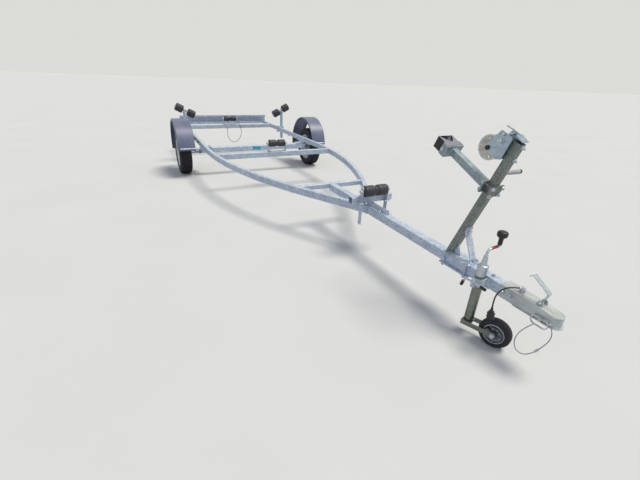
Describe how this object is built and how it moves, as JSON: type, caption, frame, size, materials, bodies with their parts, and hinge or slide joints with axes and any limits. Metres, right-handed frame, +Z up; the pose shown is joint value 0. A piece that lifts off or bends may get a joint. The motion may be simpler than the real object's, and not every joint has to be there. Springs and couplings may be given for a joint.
{
  "type": "boat trailer",
  "caption": "Single-axle boat trailer with a bent galvanised frame, keel and side rollers, hand winch on a leaning post, mudguards and a jockey wheel.",
  "frame": {"origin": "on the ground, under the middle of the trailer's box", "axes": "+Y to the trailer's rear, -Y to its coupling, +X to its own left, +Z up; it stands on its two road wheels and its jockey wheel, its frame nose down by 1.486 degrees"},
  "size_m": [2.064, 6.1468, 1.0585],
  "materials": {
    "galvanised_steel": "hot-dip galvanised, dull with a bright spangle",
    "zinc_plated_steel": "zinc plated, satin",
    "silver_painted_steel": "satin silver paint",
    "tyre_rubber": "matt",
    "black_rubber": "satin",
    "black_plastic": "fine grained",
    "red_lens": "glossy lens",
    "cable_sheath": "satin",
    "wire_rope": "thin steel rope in a clear sleeve"
  },
  "bodies": {
    "chassis": {"side_rails": "galvanised_steel", "cross_members": "galvanised_steel", "drawbar": "galvanised_steel", "light_board": "galvanised_steel", "tail_lamps": "red_lens", "axle_beam": "galvanised_steel", "axle_brackets": "galvanised_steel", "swing_arms": "galvanised_steel", "mudguards": "black_plastic", "mudguard_stays": "galvanised_steel", "keel_roller_brackets": "galvanised_steel", "front_roller_bar": "galvanised_steel", "front_keel_bracket": "galvanised_steel", "front_roller_feet": "galvanised_steel", "side_posts": "galvanised_steel", "side_post_clamps": "galvanised_steel", "winch_post": "galvanised_steel", "winch_post_base": "galvanised_steel", "winch_post_stay": "galvanised_steel", "bow_arm_front_clamp": "galvanised_steel", "bow_arm": "galvanised_steel", "bow_stop_bracket": "galvanised_steel", "bow_stop_block": "black_rubber", "winch_frame": "zinc_plated_steel", "winch_pawl": "zinc_plated_steel", "coupling_body": "zinc_plated_steel", "coupling_handle": "zinc_plated_steel", "jockey_outer_tube": "zinc_plated_steel", "jockey_crank": "zinc_plated_steel", "jockey_knob": "black_plastic", "jockey_clamp": "galvanised_steel", "jockey_clamp_handle": "zinc_plated_steel", "plug_cable": "cable_sheath", "safety_cable": "wire_rope", "light_cable": "cable_sheath", "plug": "black_plastic", "cable_glands": "black_plastic", "snap_hook": "zinc_plated_steel"},
    "wheel_left": {"hub_left": "zinc_plated_steel", "rim_left": "silver_painted_steel", "tyre_left": "tyre_rubber"},
    "wheel_right": {"hub_right": "zinc_plated_steel", "rim_right": "silver_painted_steel", "tyre_right": "tyre_rubber"},
    "front_roller": {"front_keel_roller": "black_rubber"},
    "middle_roller": {"middle_keel_roller": "black_rubber"},
    "rear_roller": {"rear_keel_roller": "black_rubber"},
    "rocker_left": {"side_roller_head_left": "galvanised_steel"},
    "rocker_right": {"side_roller_head_right": "galvanised_steel"},
    "inner_roller_left": {"side_roller_inner_left": "black_rubber"},
    "outer_roller_left": {"side_roller_outer_left": "black_rubber"},
    "inner_roller_right": {"side_roller_inner_right": "black_rubber"},
    "outer_roller_right": {"side_roller_outer_right": "black_rubber"},
    "drum": {"winch_drum": "zinc_plated_steel"},
    "crank": {"winch_crank": "zinc_plated_steel", "winch_grip": "black_plastic"},
    "jockey_leg": {"jockey_inner_tube": "zinc_plated_steel"},
    "jockey_caster": {"jockey_fork": "zinc_plated_steel"},
    "jockey_wheel": {"jockey_rim": "silver_painted_steel", "jockey_tyre": "tyre_rubber"}
  },
  "joints": [
    {"name": "wheel_left_spin", "type": "hinge", "parent": "chassis", "child": "wheel_left", "pos_m": [0.935, 1.44338, 0.2735], "axis": [1, 0, 0], "continuous": true},
    {"name": "wheel_right_spin", "type": "hinge", "parent": "chassis", "child": "wheel_right", "pos_m": [-0.935, 1.44338, 0.2735], "axis": [1, 0, 0], "continuous": true},
    {"name": "front_roller_spin", "type": "hinge", "parent": "chassis", "child": "front_roller", "pos_m": [0, -1.65866, 0.50449], "axis": [1, 0, 0], "continuous": true},
    {"name": "middle_roller_spin", "type": "hinge", "parent": "chassis", "child": "middle_roller", "pos_m": [0, 0.35944, 0.52683], "axis": [1, 0, 0], "continuous": true},
    {"name": "rear_roller_spin", "type": "hinge", "parent": "chassis", "child": "rear_roller", "pos_m": [0, 2.60674, 0.58313], "axis": [1, 0, 0], "continuous": true},
    {"name": "rocker_left_tilt", "type": "hinge", "parent": "chassis", "child": "rocker_left", "pos_m": [0.7725, 2.20229, 0.71068], "axis": [0, 0.9997, 0.0259], "range_deg": [0, 54]},
    {"name": "inner_roller_left_spin", "type": "hinge", "parent": "rocker_left", "child": "inner_roller_left", "pos_m": [0.67687, 2.20254, 0.70124], "axis": [0.891, -0.0118, 0.4538], "continuous": true},
    {"name": "outer_roller_left_spin", "type": "hinge", "parent": "rocker_left", "child": "outer_roller_left", "pos_m": [0.83635, 2.20043, 0.78248], "axis": [0.891, -0.0118, 0.4538], "continuous": true},
    {"name": "rocker_right_tilt", "type": "hinge", "parent": "chassis", "child": "rocker_right", "pos_m": [-0.7725, 2.20229, 0.71068], "axis": [0, -0.9997, -0.0259], "range_deg": [0, 54]},
    {"name": "inner_roller_right_spin", "type": "hinge", "parent": "rocker_right", "child": "inner_roller_right", "pos_m": [-0.67687, 2.20254, 0.70124], "axis": [-0.891, -0.0118, 0.4538], "continuous": true},
    {"name": "outer_roller_right_spin", "type": "hinge", "parent": "rocker_right", "child": "outer_roller_right", "pos_m": [-0.83635, 2.20043, 0.78248], "axis": [-0.891, -0.0118, 0.4538], "continuous": true},
    {"name": "drum_spin", "type": "hinge", "parent": "chassis", "child": "drum", "pos_m": [0, -2.54128, 0.95734], "axis": [1, 0, 0], "continuous": true},
    {"name": "crank_spin", "type": "hinge", "parent": "chassis", "child": "crank", "pos_m": [0, -2.60127, 0.99341], "axis": [1, 0, 0], "continuous": true},
    {"name": "jockey_lift", "type": "slide", "parent": "chassis", "child": "jockey_leg", "axis": [0, 0.0259, -0.9997], "range_m": [0, 0.2]},
    {"name": "jockey_swivel", "type": "hinge", "parent": "jockey_leg", "child": "jockey_caster", "pos_m": [-0.06, -2.67625, 0.08996], "axis": [0, -0.0259, 0.9997], "continuous": true},
    {"name": "jockey_wheel_spin", "type": "hinge", "parent": "jockey_caster", "child": "jockey_wheel", "pos_m": [-0.01674, -2.80918, 0.08], "axis": [0.9511, 0.3089, 0.008], "continuous": true}
  ],
  "couplings": [
    {"joint": "crank_spin", "follows": "drum_spin", "ratio": -4}
  ]
}
